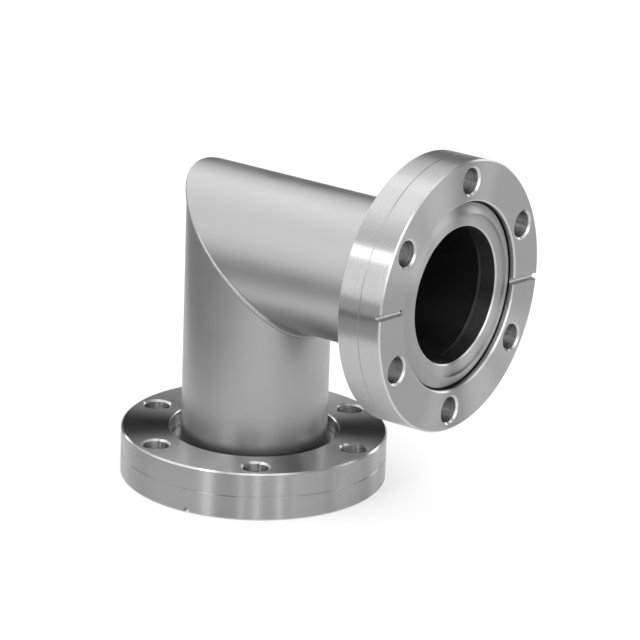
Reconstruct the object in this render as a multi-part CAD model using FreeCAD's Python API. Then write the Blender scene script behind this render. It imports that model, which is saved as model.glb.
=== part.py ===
import FreeCAD, Part
import math
import os

# Right-angle elbow for high-vacuum pipework, in stainless steel, in millimetres.
# Two thin tubes are cut at 45 degrees and welded into a mitred corner. One tube ends in a fixed
# knife-edge flange. The other ends in a knife-edge insert, which carries a bolt ring that turns.
# The origin is the centre of the lower sealing face. The lower tube stands along +Z, and the
# other tube runs along +X. Each end is drawn standing on its sealing face at Z = 0, and the
# side end is then turned over about the mitre line.

# Tubes and corner
leg_length = 62.5            # sealing face to the crossing of the two tube axes, both ends
tube_diameter = 38.1
tube_wall = 1.65
mitre_bead_width = 1.2       # square to the mitre plane, all on the lower tube's side of it
mitre_bead_crown = 0.3       # how far the bead stands out of the tube's outside
mitre_bead_edge = 0.22       # chamfer along the bead's two edges

# Sealing side, from the port outwards and down from the sealing face
port_step = 0.2              # radial, from the tube's bore out to the flange's
port_chamfer = 0.35
land_width = 3.35            # port wall to knife edge
land_depth = 1.35
knife_tip_depth = 0.65
knife_flank = 0.12           # how far the steep inner flank leans in
knife_slope = 20.0           # degrees, from the tip down to the recess wall
gasket_seat_width = 3.2      # knife edge to recess wall
recess_chamfer = 0.4         # round the mouth of the recess
recess_relief_width = 0.5    # square groove at the foot of the recess wall
recess_relief_depth = 0.45

# Bolt flange, from the recess outwards, which puts the bolt circle at 58.7 and the rim at 69.3
insert_lip_width = 0.9       # recess wall to the outside of the insert's shoulder
shoulder_clearance = 0.15    # radial, insert shoulder in ring counterbore
bolt_web = 0.8               # metal between the counterbore and the bolt holes
bolt_hole_diameter = 6.7
bolt_hole_chamfer = 0.5
bolt_holes = 6
bolt_rim_width = 5.3         # bolt circle to rim
flange_thickness = 12.7
rim_chamfer = 0.4
rim_line_depth = 0.12        # turned line round the middle of the rim
leak_groove_width = 1.65
leak_groove_depth = 1.5      # to the middle of its round floor

# Tube sockets and the seam welds inside them
socket_clearance = 0.05      # radial, round the tube
socket_chamfer = 0.4
fixed_seat_depth = 6.6       # sealing face to the tube's end in the fixed flange
insert_seat_depth = 4.4      # the same in the insert
seam_bead_width = 1.4        # along the port wall
seam_bead_depth = 1.0        # from the tube's bore to the root of the weld

# Insert, and the ring that turns on it
hub_wall = 2.85              # tube socket to the outside of the hub
running_clearance = 0.05     # radial, insert hub in ring bore
shoulder_thickness = 5.0
shoulder_gap = 0.2           # axial, between the shoulder and the counterbore's floor
insert_chamfer = 0.2
ring_back_chamfer = 0.3

# Snap ring that keeps the bolt ring on the insert
snap_ring_ledge = 1.1        # counterbore's floor to the snap ring
snap_ring_thickness = 1.2    # along the port
snap_ring_width = 1.2        # radial
snap_ring_bite = 0.6         # how far it stands into the bolt ring's groove
snap_ring_clearance = 0.03   # round it in the bolt ring's groove
snap_ring_play = 0.25        # above and below it in the insert's groove
snap_ring_spare = 0.1        # room behind it in the insert's groove when it is pressed in to assemble
snap_ring_opening = 20.0     # degrees, where its ends stand apart
hub_end_land = 0.75          # groove to the hub's back end

# Turn of each bolt circle from the elbow's own plane
fixed_turn = 5.0
ring_turn = 8.0

# Worked out from the sizes above
tube_radius = tube_diameter / 2
tube_bore_radius = tube_radius - tube_wall
socket_radius = tube_radius + socket_clearance
port_radius = tube_bore_radius + port_step
knife_radius = port_radius + land_width
recess_radius = knife_radius + gasket_seat_width
relief_radius = recess_radius - recess_relief_width
seat_drop = math.tan(math.radians(knife_slope))
seat_end_depth = knife_tip_depth + (relief_radius - knife_radius) * seat_drop
recess_depth = seat_end_depth + recess_relief_depth
shoulder_radius = recess_radius + insert_lip_width
counterbore_radius = shoulder_radius + shoulder_clearance
bolt_hole_radius = bolt_hole_diameter / 2
bolt_circle_radius = counterbore_radius + bolt_web + bolt_hole_radius
flange_radius = bolt_circle_radius + bolt_rim_width
hub_radius = socket_radius + hub_wall
ring_bore_radius = hub_radius + running_clearance
counterbore_floor = shoulder_thickness + shoulder_gap
snap_ring_foot = counterbore_floor + snap_ring_ledge
snap_ring_head = snap_ring_foot + snap_ring_thickness
snap_ring_radius = ring_bore_radius + snap_ring_bite
hub_groove_radius = hub_radius - snap_ring_width - snap_ring_spare
insert_length = snap_ring_head + snap_ring_play + hub_end_land
margin = 1.0                 # how far a cutting shape reaches past what it cuts

ORIGIN = FreeCAD.Vector(0, 0, 0)
UP = FreeCAD.Vector(0, 0, 1)
CORNER = FreeCAD.Vector(0, 0, leg_length)
MITRE_LINE = FreeCAD.Vector(1, 0, -1)


def turned(outline):
    """Solid of revolution about the Z axis, from (radius, height) corners."""
    corners = [FreeCAD.Vector(radius, 0, height) for radius, height in outline]
    face = Part.Face(Part.makePolygon(corners + corners[:1]))
    return face.revolve(ORIGIN, UP, 360)


def sealing_side():
    """Gasket recess, its relief, knife edge, land and port edge, from the recess wall inwards."""
    return [
        (recess_radius + recess_chamfer, 0),
        (recess_radius, recess_chamfer),
        (recess_radius, recess_depth),
        (relief_radius, recess_depth),
        (relief_radius, seat_end_depth),
        (knife_radius, knife_tip_depth),
        (knife_radius - knife_flank, land_depth),
        (port_radius + port_chamfer, land_depth),
        (port_radius, land_depth + port_chamfer),
    ]


def rim():
    """Outside of a flange, from the sealing face up to the back, with its fine middle line."""
    middle = flange_thickness / 2
    return [
        (flange_radius - rim_chamfer, 0),
        (flange_radius, rim_chamfer),
        (flange_radius, middle - rim_line_depth),
        (flange_radius - rim_line_depth, middle),
        (flange_radius, middle + rim_line_depth),
        (flange_radius, flange_thickness - rim_chamfer),
        (flange_radius - rim_chamfer, flange_thickness),
    ]


def socket(seat_depth, back):
    """Bore that takes the tube from behind, from the flange's back in to the port wall."""
    return [
        (socket_radius + socket_chamfer, back),
        (socket_radius, back - socket_chamfer),
        (socket_radius, seat_depth),
        (port_radius, seat_depth),
    ]


def groove(radius, floor_radius, play):
    """Groove for the snap ring round a surface of the given radius, from its top edge down."""
    return [
        (radius, snap_ring_head + play),
        (floor_radius, snap_ring_head + play),
        (floor_radius, snap_ring_foot - play),
        (radius, snap_ring_foot - play),
    ]


def bolt_hole_tool():
    """One bolt hole with a chamfer at each mouth, standing on its place in the circle."""
    mouth = bolt_hole_radius + bolt_hole_chamfer + margin
    tool = turned([
        (0, -margin),
        (mouth, -margin),
        (bolt_hole_radius, bolt_hole_chamfer),
        (bolt_hole_radius, flange_thickness - bolt_hole_chamfer),
        (mouth, flange_thickness + margin),
        (0, flange_thickness + margin),
    ])
    tool.translate(FreeCAD.Vector(bolt_circle_radius, 0, 0))
    return tool


def leak_groove_tools():
    """Two round-bottomed grooves across the sealing face, from the recess out past the rim."""
    length = flange_radius + margin - recess_radius + margin
    floor_radius = leak_groove_width / 2
    floor_axis = leak_groove_depth - floor_radius
    along = FreeCAD.Vector(0, 1, 0)
    tools = []
    for near in (recess_radius - margin, -flange_radius - margin):
        corner = FreeCAD.Vector(-floor_radius, near, -margin)
        slot = Part.makeBox(leak_groove_width, length, margin + floor_axis, corner)
        floor = Part.makeCylinder(floor_radius, length, FreeCAD.Vector(0, near, floor_axis), along)
        tools.append(slot.fuse(floor).removeSplitter())
    return tools


def drilled(flange, turn):
    """Cut the bolt holes and leak grooves, turned from the elbow's plane by the given angle."""
    tools = leak_groove_tools()
    for index in range(bolt_holes):
        tool = bolt_hole_tool()
        tool.rotate(ORIGIN, UP, index * 360 / bolt_holes)
        tools.append(tool)
    cutter = Part.makeCompound(tools)
    cutter.rotate(ORIGIN, UP, turn)
    return flange.cut(cutter)


def seam_weld(seat_depth):
    """Weld in the vee between a tube's end and its seat, which tapers to the wider port."""
    return turned([
        (port_radius, seat_depth - seam_bead_width / 2),
        (tube_bore_radius + seam_bead_depth, seat_depth),
        (tube_bore_radius, seat_depth + seam_bead_width / 2),
        (tube_bore_radius, seat_depth),
    ])


def pipe(outer_radius, foot, head):
    """Straight upright pipe with the tube's bore, from one height to another."""
    base = FreeCAD.Vector(0, 0, foot)
    outside = Part.makeCylinder(outer_radius, head - foot, base)
    return outside.cut(Part.makeCylinder(tube_bore_radius, head - foot, base))


def beyond_mitre(distance):
    """Block that covers all from the given distance short of the mitre plane onwards."""
    size = 4 * tube_diameter
    block = Part.makeBox(size, size, size, FreeCAD.Vector(-size / 2, -size / 2, 0))
    heading = FreeCAD.Vector(1, 0, 1).normalize()
    block.Placement = FreeCAD.Placement(CORNER - heading * distance, FreeCAD.Rotation(UP, heading))
    return block


def mitred_tube(seat_depth, room):
    """Tube from its seat to the 45 degree cut, which stops short to leave the bead its room."""
    tube = pipe(tube_radius, seat_depth, leg_length + tube_diameter)
    return tube.cut(beyond_mitre(room)).cut(seam_weld(seat_depth))


def make_fixed_flange():
    """One-piece flange: rim, back, tube socket and sealing side turned in one go."""
    outline = rim() + socket(fixed_seat_depth, flange_thickness) + sealing_side()[::-1]
    return drilled(turned(outline), fixed_turn).cut(seam_weld(fixed_seat_depth))


def make_flange_insert():
    """Knife-edge insert: a shoulder that pulls on the ring, and a hub that the ring turns on."""
    outline = [
        (shoulder_radius - insert_chamfer, 0),
        (shoulder_radius, insert_chamfer),
        (shoulder_radius, shoulder_thickness - insert_chamfer),
        (shoulder_radius - insert_chamfer, shoulder_thickness),
        (hub_radius, shoulder_thickness),
    ]
    outline += groove(hub_radius, hub_groove_radius, snap_ring_play)[::-1]
    outline += [
        (hub_radius, insert_length - insert_chamfer),
        (hub_radius - insert_chamfer, insert_length),
    ]
    outline += socket(insert_seat_depth, insert_length) + sealing_side()[::-1]
    cutter = Part.makeCompound(leak_groove_tools())
    cutter.rotate(ORIGIN, UP, ring_turn)
    return turned(outline).cut(cutter).cut(seam_weld(insert_seat_depth))


def make_rotatable_ring():
    """Bolt ring: counterbored for the insert's shoulder, and grooved inside for the snap ring."""
    outline = rim() + [
        (ring_bore_radius + ring_back_chamfer, flange_thickness),
        (ring_bore_radius, flange_thickness - ring_back_chamfer),
    ]
    outline += groove(ring_bore_radius, snap_ring_radius + snap_ring_clearance, snap_ring_clearance)
    outline += [
        (ring_bore_radius, counterbore_floor),
        (counterbore_radius, counterbore_floor),
        (counterbore_radius, insert_chamfer),
        (counterbore_radius + insert_chamfer, 0),
    ]
    return drilled(turned(outline), ring_turn)


def make_snap_ring():
    """Flat spring ring, sprung out into the bolt ring's groove, open over a short gap."""
    inner_radius = snap_ring_radius - snap_ring_width
    foot = FreeCAD.Vector(0, 0, snap_ring_foot)
    sweep = 360 - snap_ring_opening
    outside = Part.makeCylinder(snap_ring_radius, snap_ring_thickness, foot, UP, sweep)
    ring = outside.cut(Part.makeCylinder(inner_radius, snap_ring_thickness, foot))
    ring.rotate(ORIGIN, UP, 90 + snap_ring_opening / 2)
    return ring


def turned_over(shape):
    """A piece drawn on the lower end, moved to the side end, over the mitre line."""
    moved = shape.copy()
    moved.Placement = FreeCAD.Placement(
        FreeCAD.Vector(leg_length, 0, leg_length),
        FreeCAD.Rotation(MITRE_LINE, 180),
    )
    return moved


def make_mitre_weld():
    """Weld right through the lower tube's wall at the corner, proud outside, its edges eased."""
    crown_radius = tube_radius + mitre_bead_crown
    bead = pipe(crown_radius, leg_length - tube_diameter, leg_length + tube_diameter)
    bead = bead.cut(beyond_mitre(0)).common(beyond_mitre(mitre_bead_width))
    outer_edges = []
    for edge in bead.Edges:
        point = edge.valueAt((edge.FirstParameter + edge.LastParameter) / 2)
        if math.hypot(point.x, point.y) > tube_radius and edge.Length > tube_diameter:
            outer_edges.append(edge)
    return bead.makeChamfer(mitre_bead_edge, outer_edges)


pieces = {
    "vertical_tube": mitred_tube(insert_seat_depth, mitre_bead_width),
    "horizontal_tube": turned_over(mitred_tube(fixed_seat_depth, 0)),
    "mitre_weld": make_mitre_weld(),
    "fixed_flange": turned_over(make_fixed_flange()),
    "fixed_flange_weld": turned_over(seam_weld(fixed_seat_depth)),
    "flange_insert": make_flange_insert(),
    "insert_weld": seam_weld(insert_seat_depth),
    "rotatable_ring": make_rotatable_ring(),
    "snap_ring": make_snap_ring(),
}

os.makedirs("parts", exist_ok=True)
for name, shape in pieces.items():
    shape.exportStep("parts/" + name + ".step")
    print(name, "solids", len(shape.Solids), "valid", shape.isValid(), "volume", round(shape.Volume, 2))
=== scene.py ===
import math

import bpy
from mathutils import Matrix, Vector


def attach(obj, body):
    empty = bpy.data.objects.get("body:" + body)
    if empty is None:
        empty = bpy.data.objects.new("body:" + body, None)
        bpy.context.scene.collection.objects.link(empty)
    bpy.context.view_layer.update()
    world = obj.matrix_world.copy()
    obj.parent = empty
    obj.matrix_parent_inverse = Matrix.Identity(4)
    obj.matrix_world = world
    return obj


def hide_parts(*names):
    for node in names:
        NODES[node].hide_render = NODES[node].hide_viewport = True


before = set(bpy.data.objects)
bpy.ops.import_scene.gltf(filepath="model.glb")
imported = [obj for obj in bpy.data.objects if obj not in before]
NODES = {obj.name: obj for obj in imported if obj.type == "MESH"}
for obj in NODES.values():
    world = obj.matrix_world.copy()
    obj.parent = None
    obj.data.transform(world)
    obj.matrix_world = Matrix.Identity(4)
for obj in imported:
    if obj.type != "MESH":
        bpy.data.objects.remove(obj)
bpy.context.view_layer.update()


# Camera. It stands where the photographer stood, a metre off with a long lens, a little above
# the elbow and slightly rolled.

CAMERA_AZIMUTH = -54.334                   # degrees from +X towards +Y
CAMERA_ELEVATION = 19.001
CAMERA_ROLL = math.radians(2.057)
CAMERA_DISTANCE = 0.99422
CAMERA_TARGET = Vector((0.016847, 0.004245, 0.044715))
PHOTO_WIDTH_PIXELS = 640.0
FOCAL_LENGTH_PIXELS = 3877.7
SENSOR_WIDTH = 36.0                        # millimetres
CLIP_NEAR = 0.05
CLIP_FAR = 20.0


def bearing(azimuth, elevation):
    """Unit vector at an azimuth, counted from the camera to its right, and an elevation."""
    turn = math.radians(CAMERA_AZIMUTH + azimuth)
    rise = math.radians(elevation)
    return Vector((math.cos(rise) * math.cos(turn), math.cos(rise) * math.sin(turn), math.sin(rise)))


towards_camera = bearing(0.0, CAMERA_ELEVATION)
level_right = (-towards_camera).cross(Vector((0, 0, 1))).normalized()
level_up = towards_camera.cross(level_right)
camera_right = level_right * math.cos(CAMERA_ROLL) + level_up * math.sin(CAMERA_ROLL)
camera_up = level_up * math.cos(CAMERA_ROLL) - level_right * math.sin(CAMERA_ROLL)

camera_data = bpy.data.cameras.new("photo_camera")
camera_data.sensor_width = SENSOR_WIDTH
camera_data.lens = FOCAL_LENGTH_PIXELS / PHOTO_WIDTH_PIXELS * SENSOR_WIDTH
camera_data.clip_start = CLIP_NEAR
camera_data.clip_end = CLIP_FAR
camera = bpy.data.objects.new("photo_camera", camera_data)
camera_axes = Matrix((camera_right, camera_up, towards_camera)).transposed().to_4x4()
camera.matrix_world = Matrix.Translation(CAMERA_TARGET + towards_camera * CAMERA_DISTANCE) @ camera_axes
bpy.context.collection.objects.link(camera)
bpy.context.scene.camera = camera
bpy.context.scene.view_settings.view_transform = "Standard"


# Studio floor. A white sheet of paper lies on the table and ends left of the camera, out of its
# sight, where the steel shows the grey table instead.

FLOOR_RADIUS = 3.0
FLOOR_CORNERS = 64
FLOOR_DROP = 0.00005
SHEET_END_AZIMUTH = -82.0
# How far towards the sheet's end, in metres, and how light the floor is there: sheet, table, and
# the dark line where the table meets the studio floor.
FLOOR_SPAN = 0.40
FLOOR_TONES = [
    (0.0, 0.92), (0.077, 0.92), (0.10, 0.36), (0.20, 0.36),
    (0.225, 0.10), (0.275, 0.10), (0.31, 0.5),
]
FLOOR_OWN_WHITE = 0.5                      # share of it that doesn't depend on the light

floor_mesh = bpy.data.meshes.new("floor")
floor_corners = [
    (FLOOR_RADIUS * math.cos(math.tau * k / FLOOR_CORNERS),
     FLOOR_RADIUS * math.sin(math.tau * k / FLOOR_CORNERS),
     -FLOOR_DROP)
    for k in range(FLOOR_CORNERS)
]
floor_mesh.from_pydata(floor_corners, [], [list(range(FLOOR_CORNERS))])
floor = bpy.data.objects.new("floor", floor_mesh)
bpy.context.collection.objects.link(floor)


def open_nodes(owner):
    """Makes a material's or world's node tree the one that the next nodes go into."""
    global nodes, links
    owner.use_nodes = True
    nodes, links = owner.node_tree.nodes, owner.node_tree.links


def add_node(kind, **settings):
    """One node in the open tree, with its plain settings."""
    node = nodes.new(kind)
    for key, value in settings.items():
        setattr(node, key, value)
    return node


def place_on_piece():
    """The place in the piece's own coordinates."""
    return add_node("ShaderNodeTexCoord").outputs["Object"]


def calculated(operation, *values):
    """One sum in the open tree, from sockets or plain numbers."""
    node = add_node("ShaderNodeMath", operation=operation)
    for socket, value in zip(node.inputs, values):
        if isinstance(value, (int, float)):
            socket.default_value = value
        else:
            links.new(value, socket)
    return node.outputs[0]


def measured_along(source, direction):
    """How far a place or a direction reaches along a given one."""
    reach = add_node("ShaderNodeVectorMath", operation="DOT_PRODUCT")
    reach.inputs[1].default_value = direction
    links.new(source, reach.inputs[0])
    return reach.outputs["Value"]


def spread(source, before, after, shape="LINEAR"):
    """Carries one range of values over to another, and stops at both ends."""
    node = add_node("ShaderNodeMapRange", interpolation_type=shape)
    for socket, value in zip(("From Min", "From Max", "To Min", "To Max"), (*before, *after)):
        node.inputs[socket].default_value = value
    links.new(source, node.inputs["Value"])
    return node.outputs["Result"]


paper = bpy.data.materials.new("white_paper")
open_nodes(paper)
nodes.clear()
towards_end = measured_along(place_on_piece(), bearing(SHEET_END_AZIMUTH, 0.0))
sheet = add_node("ShaderNodeValToRGB")
stops = sheet.color_ramp.elements
while len(stops) < len(FLOOR_TONES):
    stops.new(FLOOR_TONES[-1][0] / FLOOR_SPAN)
for stop, (reach, tone) in zip(stops, FLOOR_TONES):
    stop.position = reach / FLOOR_SPAN
    stop.color = (tone, tone, tone, 1.0)
links.new(spread(towards_end, (0.0, FLOOR_SPAN), (0.0, 1.0)), sheet.inputs["Fac"])

seen_by = add_node("ShaderNodeLightPath")
directly = calculated("ADD", seen_by.outputs["Is Camera Ray"], seen_by.outputs["Is Glossy Ray"])
directly = calculated("ADD", directly, seen_by.outputs["Is Transmission Ray"])
own_share = calculated("MULTIPLY", calculated("MINIMUM", directly, 1.0), FLOOR_OWN_WHITE)

paper_diffuse = add_node("ShaderNodeBsdfDiffuse")
links.new(sheet.outputs["Color"], paper_diffuse.inputs["Color"])
paper_white = add_node("ShaderNodeEmission")
own_tone = spread(sheet.outputs["Color"], (0.0, FLOOR_TONES[0][1]), (0.0, 1.0))
links.new(own_tone, paper_white.inputs["Color"])
paper_mix = add_node("ShaderNodeMixShader")
links.new(own_share, paper_mix.inputs["Fac"])
links.new(paper_diffuse.outputs[0], paper_mix.inputs[1])
links.new(paper_white.outputs[0], paper_mix.inputs[2])
links.new(paper_mix.outputs[0], add_node("ShaderNodeOutputMaterial").inputs["Surface"])
floor_mesh.materials.append(paper)


# Studio light. One large soft wall of light stands to the left and behind, from a little above
# the table upwards, with smaller patches and upright strips round the room. Low down, behind the
# elbow, the room is dark.

ROOM_GREY = 0.20
DARKEST = 0.02
WALL_LIGHT = 1.3
WALL_MIDDLE = -128.0                       # to the camera's right, so it stands left and behind
WALL_HALF_WIDTH = (58.0, 80.0)             # where it is full, and where it ends
WALL_FOOT = (26.0, 31.0)                   # elevation where it starts, and where it is full
LOW_WALL = (-68.0, 14.0, 26.0, 34.0, 1.1)  # its lower part, left of the camera, as a patch below
# Each patch: azimuth from the camera to its right, elevation, where it is full, where it ends
# (degrees from its middle), and the light it adds.
LIGHT_PATCHES = [
    (42, 40, 9, 13, 3.2),
    (12, 38, 18, 30, 1.5),
    (0, 90, 20, 32, 1.0),
    (-152, 52, 5, 9, 0.6),
    (155, 28, 7, 11, 1.3),
    (109, 22, 8, 14, -0.17),
    (85, 21, 11, 14, 4.4),
    (180, 6, 17, 24, -0.17),
]
# Upright strips: azimuth, half width where full and where it ends, foot, head, and the light.
LIGHT_STRIPS = [
    (-137, 2, 3, 3, 26, 5.5),
    (-104, 4, 6, 2, 36, -1.3),
    (-37, 3, 4.5, 3, 34, 6.5),
    (-17, 5, 7, 8, 40, -0.5),
    (-8, 0.8, 1.5, 2, 34, 7.0),
    (5, 1.3, 2, 2, 34, 8.0),
    (24, 1.3, 2, 2, 34, 7.5),
    (50, 14, 18, 3, 30, 2.0),
    (80, 4, 6, 0, 10, -0.3),
    (100, 2, 4, 3, 24, 2.6),
    (128, 5, 7, 3, 24, 5.0),
]
STRIP_FOOT_SOFTNESS = 2                    # degrees above and below a strip's foot and its head
STRIP_HEAD_SOFTNESS = 4
WHITE = (1.0, 1.0, 1.0, 1.0)
PANE_AZIMUTH = -43.0
PANE_ELEVATIONS = {"left_pane_low": 33.5, "left_pane_high": 38.5}
PANE_DISTANCE = 1.2
PANE_WIDTH = 0.24
PANE_HEIGHT = 0.05
PANE_POWER = 1.0

world = bpy.data.worlds.new("studio")
bpy.context.scene.world = world
open_nodes(world)
nodes.clear()
direction = add_node("ShaderNodeTexCoord").outputs["Generated"]
level = add_node("ShaderNodeVectorMath", operation="MULTIPLY")
level.inputs[1].default_value = (1.0, 1.0, 0.0)
links.new(direction, level.inputs[0])
heading = add_node("ShaderNodeVectorMath", operation="NORMALIZE")
links.new(level.outputs["Vector"], heading.inputs[0])
height = measured_along(direction, (0.0, 0.0, 1.0))


def light_above(dark, full, strength):
    """Light that starts at one elevation and is full at another, which may lie below it."""
    edge = math.sin(math.radians(dark)), math.sin(math.radians(full))
    return spread(height, edge, (0.0, strength), "SMOOTHSTEP")


def light_near(source, azimuth, elevation, full, end, strength):
    """Light round one direction, full up to one angle from it and gone at another."""
    edge = math.cos(math.radians(end)), math.cos(math.radians(full))
    near = measured_along(source, bearing(azimuth, elevation))
    return spread(near, edge, (0.0, strength), "SMOOTHSTEP")


def light_across(azimuth, full, end, strength):
    """Light to both sides of one azimuth, as wide at every height."""
    return light_near(heading.outputs["Vector"], azimuth, 0.0, full, end, strength)


total = calculated("MULTIPLY", light_above(*WALL_FOOT, WALL_LIGHT),
                   light_across(WALL_MIDDLE, *WALL_HALF_WIDTH, 1.0))
total = calculated("MAXIMUM", total, light_near(direction, *LOW_WALL))
for patch in LIGHT_PATCHES:
    total = calculated("ADD", total, light_near(direction, *patch))
for azimuth, full, end, foot, head, strength in LIGHT_STRIPS:
    over_foot = light_above(foot - STRIP_FOOT_SOFTNESS, foot + STRIP_FOOT_SOFTNESS, 1.0)
    under_head = light_above(head + STRIP_HEAD_SOFTNESS, head - STRIP_HEAD_SOFTNESS, 1.0)
    upright = calculated("MULTIPLY", over_foot, under_head)
    total = calculated("MULTIPLY_ADD", upright, light_across(azimuth, full, end, strength), total)
total = calculated("MAXIMUM", calculated("ADD", total, ROOM_GREY), DARKEST)
room_light = add_node("ShaderNodeBackground")
room_light.inputs["Color"].default_value = WHITE
links.new(total, room_light.inputs["Strength"])
links.new(room_light.outputs[0], add_node("ShaderNodeOutputWorld").inputs["Surface"])

for name, elevation in PANE_ELEVATIONS.items():
    away = bearing(PANE_AZIMUTH, elevation)
    pane_data = bpy.data.lights.new(name, "AREA")
    pane_data.shape = "RECTANGLE"
    pane_data.size = PANE_WIDTH
    pane_data.size_y = PANE_HEIGHT
    pane_data.energy = PANE_POWER
    pane = bpy.data.objects.new(name, pane_data)
    pane.location = CAMERA_TARGET + away * PANE_DISTANCE
    pane.rotation_mode = "QUATERNION"
    pane.rotation_quaternion = away.to_track_quat("Z", "Y")
    bpy.context.collection.objects.link(pane)


# Tubes. Thin-wall stainless tube, cut at 45 degrees where the two meet and blasted with fine
# glass beads, so the outside is satin and even, with a faint mottle. The ends sit in the flanges.

LEG = 0.0625                   # from each sealing face to the other port's axis
TUBE_RADIUS = 0.01905
TUBE_BORE_RADIUS = 0.0174
SIDE_TUBE_GREY = 0.40
# The lower tube is the same tube as the side one, set darker as painted shade.
LOWER_TUBE_SHADED_GREY = 0.35
TUBE_BORE_PAINTED_SHADE = 0.16        # painted shade inside the bore, where little light reaches
WALL_CHANGE = 0.0002           # either side of the wall's middle, from the inside's painted shade to the outside's grey
TUBE_ROUGHNESS = (0.34, 0.42)
NOISE_RANGE = (0.3, 0.7)       # where nearly all values of a noise pattern lie
MOTTLE_SCALE = 90.0
MOTTLE_DETAIL = 4.0
MOTTLE_ROUGHNESS = 0.6
DIMPLE_SCALE = 5200.0
DIMPLE_STRENGTH = 0.12
DIMPLE_DEPTH = 0.00004


def bare_steel(name, grey):
    """Opens a bare metal material and gives back its shader."""
    material = bpy.data.materials.new(name)
    open_nodes(material)
    shader = nodes["Principled BSDF"]
    shader.inputs["Base Color"].default_value = (grey, grey, grey, 1.0)
    shader.inputs["Metallic"].default_value = 1.0
    return material, shader


def noise(scale, detail=2.0, rough=0.5):
    """Plain noise over the piece."""
    grain = add_node("ShaderNodeTexNoise")
    grain.inputs["Scale"].default_value = scale
    grain.inputs["Detail"].default_value = detail
    grain.inputs["Roughness"].default_value = rough
    links.new(place_on_piece(), grain.inputs["Vector"])
    return grain.outputs["Fac"]


def raise_surface(shader, height, strength, depth):
    """Lets a pattern stand up from the surface by so much."""
    bump = add_node("ShaderNodeBump")
    bump.inputs["Strength"].default_value = strength
    bump.inputs["Distance"].default_value = depth
    links.new(height, bump.inputs["Height"])
    links.new(bump.outputs["Normal"], shader.inputs["Normal"])


def from_axis(axis, centre):
    """Distance from a straight axis through a point, and the place along it."""
    shift = add_node("ShaderNodeVectorMath", operation="SUBTRACT")
    shift.inputs[1].default_value = centre
    links.new(place_on_piece(), shift.inputs[0])
    split = add_node("ShaderNodeSeparateXYZ")
    links.new(shift.outputs[0], split.inputs[0])
    across = [k for k in "XYZ" if k != axis]
    flat = add_node("ShaderNodeCombineXYZ")
    for k in range(2):
        links.new(split.outputs[across[k]], flat.inputs[k])
    length = add_node("ShaderNodeVectorMath", operation="LENGTH")
    links.new(flat.outputs[0], length.inputs[0])
    return length.outputs["Value"], split.outputs[axis]


def blasted_tube(name, grey, axis, centre):
    """Satin tube, with painted shade inside the bore."""
    material, shader = bare_steel(name, grey)
    radius, along = from_axis(axis, centre)
    wall_middle = (TUBE_RADIUS + TUBE_BORE_RADIUS) / 2
    wall = (wall_middle - WALL_CHANGE, wall_middle + WALL_CHANGE)
    # Painted shade on the bore side of the wall.
    links.new(spread(radius, wall, (TUBE_BORE_PAINTED_SHADE, grey)), shader.inputs["Base Color"])
    mottle = noise(MOTTLE_SCALE, MOTTLE_DETAIL, MOTTLE_ROUGHNESS)
    links.new(spread(mottle, NOISE_RANGE, TUBE_ROUGHNESS), shader.inputs["Roughness"])
    raise_surface(shader, noise(DIMPLE_SCALE), DIMPLE_STRENGTH, DIMPLE_DEPTH)
    return material


lower_tube = blasted_tube("blasted_steel_lower", LOWER_TUBE_SHADED_GREY, "Z", (0.0, 0.0, 0.0))
NODES["vertical_tube"].data.materials[0] = lower_tube
side_tube = blasted_tube("blasted_steel_side", SIDE_TUBE_GREY, "X", (0.0, 0.0, LEG))
NODES["horizontal_tube"].data.materials[0] = side_tube


# Side flange. One piece of stainless bar, turned on a lathe, drilled and welded to the tube from
# inside the port. The cutter's fine rings stretch every reflection across them.

SIDE_PAINTED_TONES = (0.44, 0.345)      # rim and faces, each set to the tone it shows under this light: painted light and shade
SIDE_ROUGHNESS = (0.27, 0.39)
RIM_TO_FACE = (0.1, 0.9)       # how far a surface looks along the axis, from rim to face
PORT_PAINTED_SHADE = 0.15               # painted shade on the port's wall, deep inside the bore
PORT_EDGE_RADIUS = 0.0178
HOLE_GREY = 0.50               # the bolt holes' walls, and the leak grooves' between rim and recess
BOLT_CIRCLE_RADIUS = 0.02935
HOLE_REACH = 0.00395           # from the bolt circle to the far side of a hole's chamfer
STEEPEST_SLOPE = 0.5           # a surface that looks less along the axis than this is a wall
CHAMFER_PAINTED_HIGHLIGHT = 0.60               # painted highlight on the chamfers
CHAMFER_SLOPE = math.sqrt(0.5)
CHAMFER_SLOPE_PLAY = 0.06
RIM_MIDDLE = 0.00635           # the vee round the rim is sloped too, but gets no painted highlight
RIM_VEE_REACH = 0.0005
RELIEF_PAINTED_SHADE = 0.03             # painted shade in the narrow relief at the foot of the recess wall
RELIEF_RADIUS = (0.02352, 0.02425)
RELIEF_DEPTH = (0.00145, 0.00215)
RECESS_RADIUS = 0.02415
RECESS_EDGE = 0.0001
SEAT_MARKS = 0.9               # tool marks in the gasket recess, on the faces and on the rims
FACE_MARKS = 0.2
RIM_MARKS = 0.3
FACE_MARK_SCALE = 2600.0       # how closely the marks lie, per metre
RIM_MARK_SCALE = 1300.0
MARK_DETAIL = 1.5
MARK_ROUGHNESS = 0.7
MARK_STRENGTH = 0.3
MARK_DEPTH = 0.00001
ROUGHNESS_SWING = 0.004
RING_STRETCH = 1.0
ACROSS_THE_RINGS = 0.25        # turns


def either(mask, inside, outside):
    """One value where the mask is 1 and another where it is 0."""
    return calculated("MULTIPLY_ADD", calculated("SUBTRACT", inside, outside), mask, outside)


def within(value, low, high):
    """Mask of the places where a value lies between two others."""
    return calculated("COMPARE", value, (low + high) / 2, (high - low) / 2)


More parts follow.
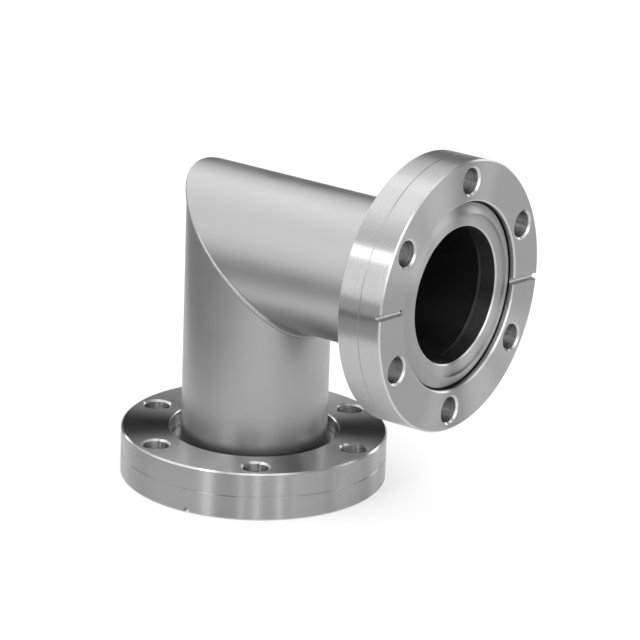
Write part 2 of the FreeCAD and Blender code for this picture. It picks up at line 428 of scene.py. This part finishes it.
def turned_grey(radius, depth, slope, grey):
    """Grey of a turned and drilled flange: rim and faces, port, holes, chamfers and relief, with painted
    light and shade on all but the holes.
    """
    # Rim and faces get greys set to the tone each shows under this light: painted light and shade.
    tone = spread(slope, RIM_TO_FACE, grey)
    # Painted shade on the port's wall.
    tone = either(calculated("GREATER_THAN", radius, PORT_EDGE_RADIUS), tone, PORT_PAINTED_SHADE)
    round_holes = calculated("COMPARE", radius, BOLT_CIRCLE_RADIUS, HOLE_REACH)
    steep = calculated("LESS_THAN", slope, STEEPEST_SLOPE)
    tone = either(calculated("MULTIPLY", round_holes, steep), HOLE_GREY, tone)
    # Painted highlight on the chamfers, except on the vee round the rim.
    chamfer = calculated("COMPARE", slope, CHAMFER_SLOPE, CHAMFER_SLOPE_PLAY)
    from_middle = calculated("ABSOLUTE", calculated("SUBTRACT", depth, RIM_MIDDLE))
    off_middle = calculated("GREATER_THAN", from_middle, RIM_VEE_REACH)
    tone = either(calculated("MULTIPLY", chamfer, off_middle), CHAMFER_PAINTED_HIGHLIGHT, tone)
    # Painted shade in the relief at the foot of the recess wall.
    relief = calculated("MULTIPLY", within(radius, *RELIEF_RADIUS), within(depth, *RELIEF_DEPTH))
    return either(relief, RELIEF_PAINTED_SHADE, tone)


def tool_rings(path, scale):
    """The uneven rings that the cutter leaves as it moves along a path."""
    rings = add_node("ShaderNodeTexNoise", noise_dimensions="1D")
    rings.inputs["Scale"].default_value = scale
    rings.inputs["Detail"].default_value = MARK_DETAIL
    rings.inputs["Roughness"].default_value = MARK_ROUGHNESS
    links.new(path, rings.inputs["W"])
    return rings.outputs["Fac"]


def turned_steel(name, grey, roughness, axis, centre, face):
    """Steel turned round one axis; the flange's sealing face stands at a place along it."""
    material, shader = bare_steel(name, grey[1])
    radius, along = from_axis(axis, centre)
    depth = calculated("ABSOLUTE", calculated("SUBTRACT", along, face))
    normal = add_node("ShaderNodeSeparateXYZ")
    links.new(add_node("ShaderNodeNewGeometry").outputs["True Normal"], normal.inputs[0])
    slope = calculated("ABSOLUTE", normal.outputs[axis])
    links.new(turned_grey(radius, depth, slope, grey), shader.inputs["Base Color"])

    rim_rings = tool_rings(along, RIM_MARK_SCALE)
    recess_wall = (RECESS_RADIUS - RECESS_EDGE, RECESS_RADIUS + RECESS_EDGE)
    face_share = calculated("MULTIPLY", spread(radius, recess_wall, (SEAT_MARKS, FACE_MARKS)), slope)
    height = calculated("MULTIPLY", tool_rings(radius, FACE_MARK_SCALE), face_share)
    height = calculated("MULTIPLY_ADD", rim_rings, RIM_MARKS, height)
    raise_surface(shader, height, MARK_STRENGTH, MARK_DEPTH)

    swing = spread(rim_rings, NOISE_RANGE, (-ROUGHNESS_SWING, ROUGHNESS_SWING))
    uneven = calculated("ADD", spread(slope, RIM_TO_FACE, roughness), swing)
    links.new(uneven, shader.inputs["Roughness"])
    shader.inputs["Anisotropic"].default_value = RING_STRETCH
    shader.inputs["Anisotropic Rotation"].default_value = ACROSS_THE_RINGS
    around = add_node("ShaderNodeTangent", direction_type="RADIAL", axis=axis)
    links.new(around.outputs[0], shader.inputs["Tangent"])
    return material


side_turned = turned_steel("turned_steel_side", SIDE_PAINTED_TONES, SIDE_ROUGHNESS, "X", (0.0, 0.0, LEG), LEG)
NODES["fixed_flange"].data.materials[0] = side_turned


# Lower insert, bolt ring and snap ring. The insert is welded to the lower tube, and the bolt ring
# turns on it. Both are turned from the same bar as the side flange. The snap ring, a flat spring
# in the grooves of both, keeps them together.

LOWER_PAINTED_TONES = (0.31, 0.36)      # rim and faces, set to the tone each shows under this light rather than the side flange's, though from the same bar: painted light and shade
LOWER_ROUGHNESS = (0.27, 0.29)

lower_turned = turned_steel("turned_steel_lower", LOWER_PAINTED_TONES, LOWER_ROUGHNESS, "Z", (0.0, 0.0, 0.0), 0.0)
for piece in ("flange_insert", "rotatable_ring", "snap_ring"):
    NODES[piece].data.materials[0] = lower_turned


# Corner weld. Both tubes are melted together right round the mitred corner, which leaves a narrow
# raised bead with fine ripples, one for each dip of the filler wire.

BEAD_MIDDLE = -0.00085         # along the lower tube, from the mitre plane
BEAD_HALF_WIDTH = 0.00090
BEAD_CROWN = 0.0003
BEAD_TOE = -0.00005            # the bead's edge dips into the tube's wall
BEAD_ROUNDING = 0.00016        # how softly it turns from one tube to the other
BEAD_RIPPLE = 0.000025
RIPPLES_ROUND = 150
RIPPLE_LAG = 0.5               # of a ripple, by which its ends trail its middle
SHALLOWEST_RIPPLE = 0.4        # of the deepest one
UNEVEN_WAVES = (7, 11)         # how often the depth swings round the seam
UNEVEN_START = 1.3
STEPS_ROUND = 1200
STEPS_ACROSS = 10
WELD_GREY = 0.35
WELD_ROUGHNESS = (0.42, 0.55)
WELD_MARK_SCALE = 700.0


def bead_point(turn, reach, radius):
    """Point of the seam: on the lower tube's side for a negative reach, else on the side tube's."""
    rounded = math.hypot(reach, BEAD_ROUNDING)
    along_x = (rounded + reach) / 2
    down_z = (rounded - reach) / 2
    x = radius * math.cos(turn)
    return (x + along_x, radius * math.sin(turn), LEG - x - down_z)


def bead_height(turn, u):
    """How far the bead stands off the tube, at a turn round it and from -1 to 1 across it."""
    ripple = math.cos(RIPPLES_ROUND * turn + math.tau * RIPPLE_LAG * u * u)
    slow, fast = UNEVEN_WAVES
    uneven = 0.5 + 0.5 * math.sin(slow * turn + UNEVEN_START) * math.sin(fast * turn)
    depth = BEAD_RIPPLE * (SHALLOWEST_RIPPLE + (1 - SHALLOWEST_RIPPLE) * uneven)
    crown = BEAD_TOE + (BEAD_CROWN - BEAD_TOE) * (1 - u * u)
    return crown + depth * (ripple - 1) / 2 * (1 - u ** 4)


def make_corner_bead():
    """Closed ring: ripples outside, a smooth root flush with the bore inside."""
    points = []
    faces = []
    across = [-1 + 2 * k / STEPS_ACROSS for k in range(STEPS_ACROSS + 1)]
    section = 2 * len(across)
    for step in range(STEPS_ROUND):
        turn = math.tau * step / STEPS_ROUND
        for u in across:
            radius = TUBE_RADIUS + bead_height(turn, u)
            points.append(bead_point(turn, BEAD_MIDDLE + u * BEAD_HALF_WIDTH, radius))
        for u in reversed(across):
            points.append(bead_point(turn, BEAD_MIDDLE + u * BEAD_HALF_WIDTH, TUBE_BORE_RADIUS))
        here = step * section
        there = (step + 1) % STEPS_ROUND * section
        for k in range(section):
            beside = (k + 1) % section
            faces.append((here + k, there + k, there + beside, here + beside))
    mesh = bpy.data.meshes.new("corner_weld_bead")
    mesh.from_pydata(points, [], faces)
    mesh.polygons.foreach_set("use_smooth", [True] * len(faces))
    return mesh


def as_welded(name, grey, roughness):
    """Steel that has been molten: uneven, with no tool marks."""
    material, shader = bare_steel(name, grey)
    scale_marks = noise(WELD_MARK_SCALE)
    links.new(spread(scale_marks, NOISE_RANGE, roughness), shader.inputs["Roughness"])
    return material


corner_bead = bpy.data.objects.new("corner_weld_bead", make_corner_bead())
corner_bead.data.materials.append(as_welded("weld_metal", WELD_GREY, WELD_ROUGHNESS))
bpy.context.collection.objects.link(corner_bead)
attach(corner_bead, "welded_elbow")
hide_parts("mitre_weld")


# Seam welds. Inside each port the tube's end is melted to its seat in the flange or the insert,
# a shallow vee filled flush with the bore and darkened by the heat.

SEAM_GREY = 0.14
SEAM_ROUGHNESS = (0.3, 0.42)

seam_metal = as_welded("seam_weld_metal", SEAM_GREY, SEAM_ROUGHNESS)
for weld in ("fixed_flange_weld", "insert_weld"):
    NODES[weld].data.materials[0] = seam_metal
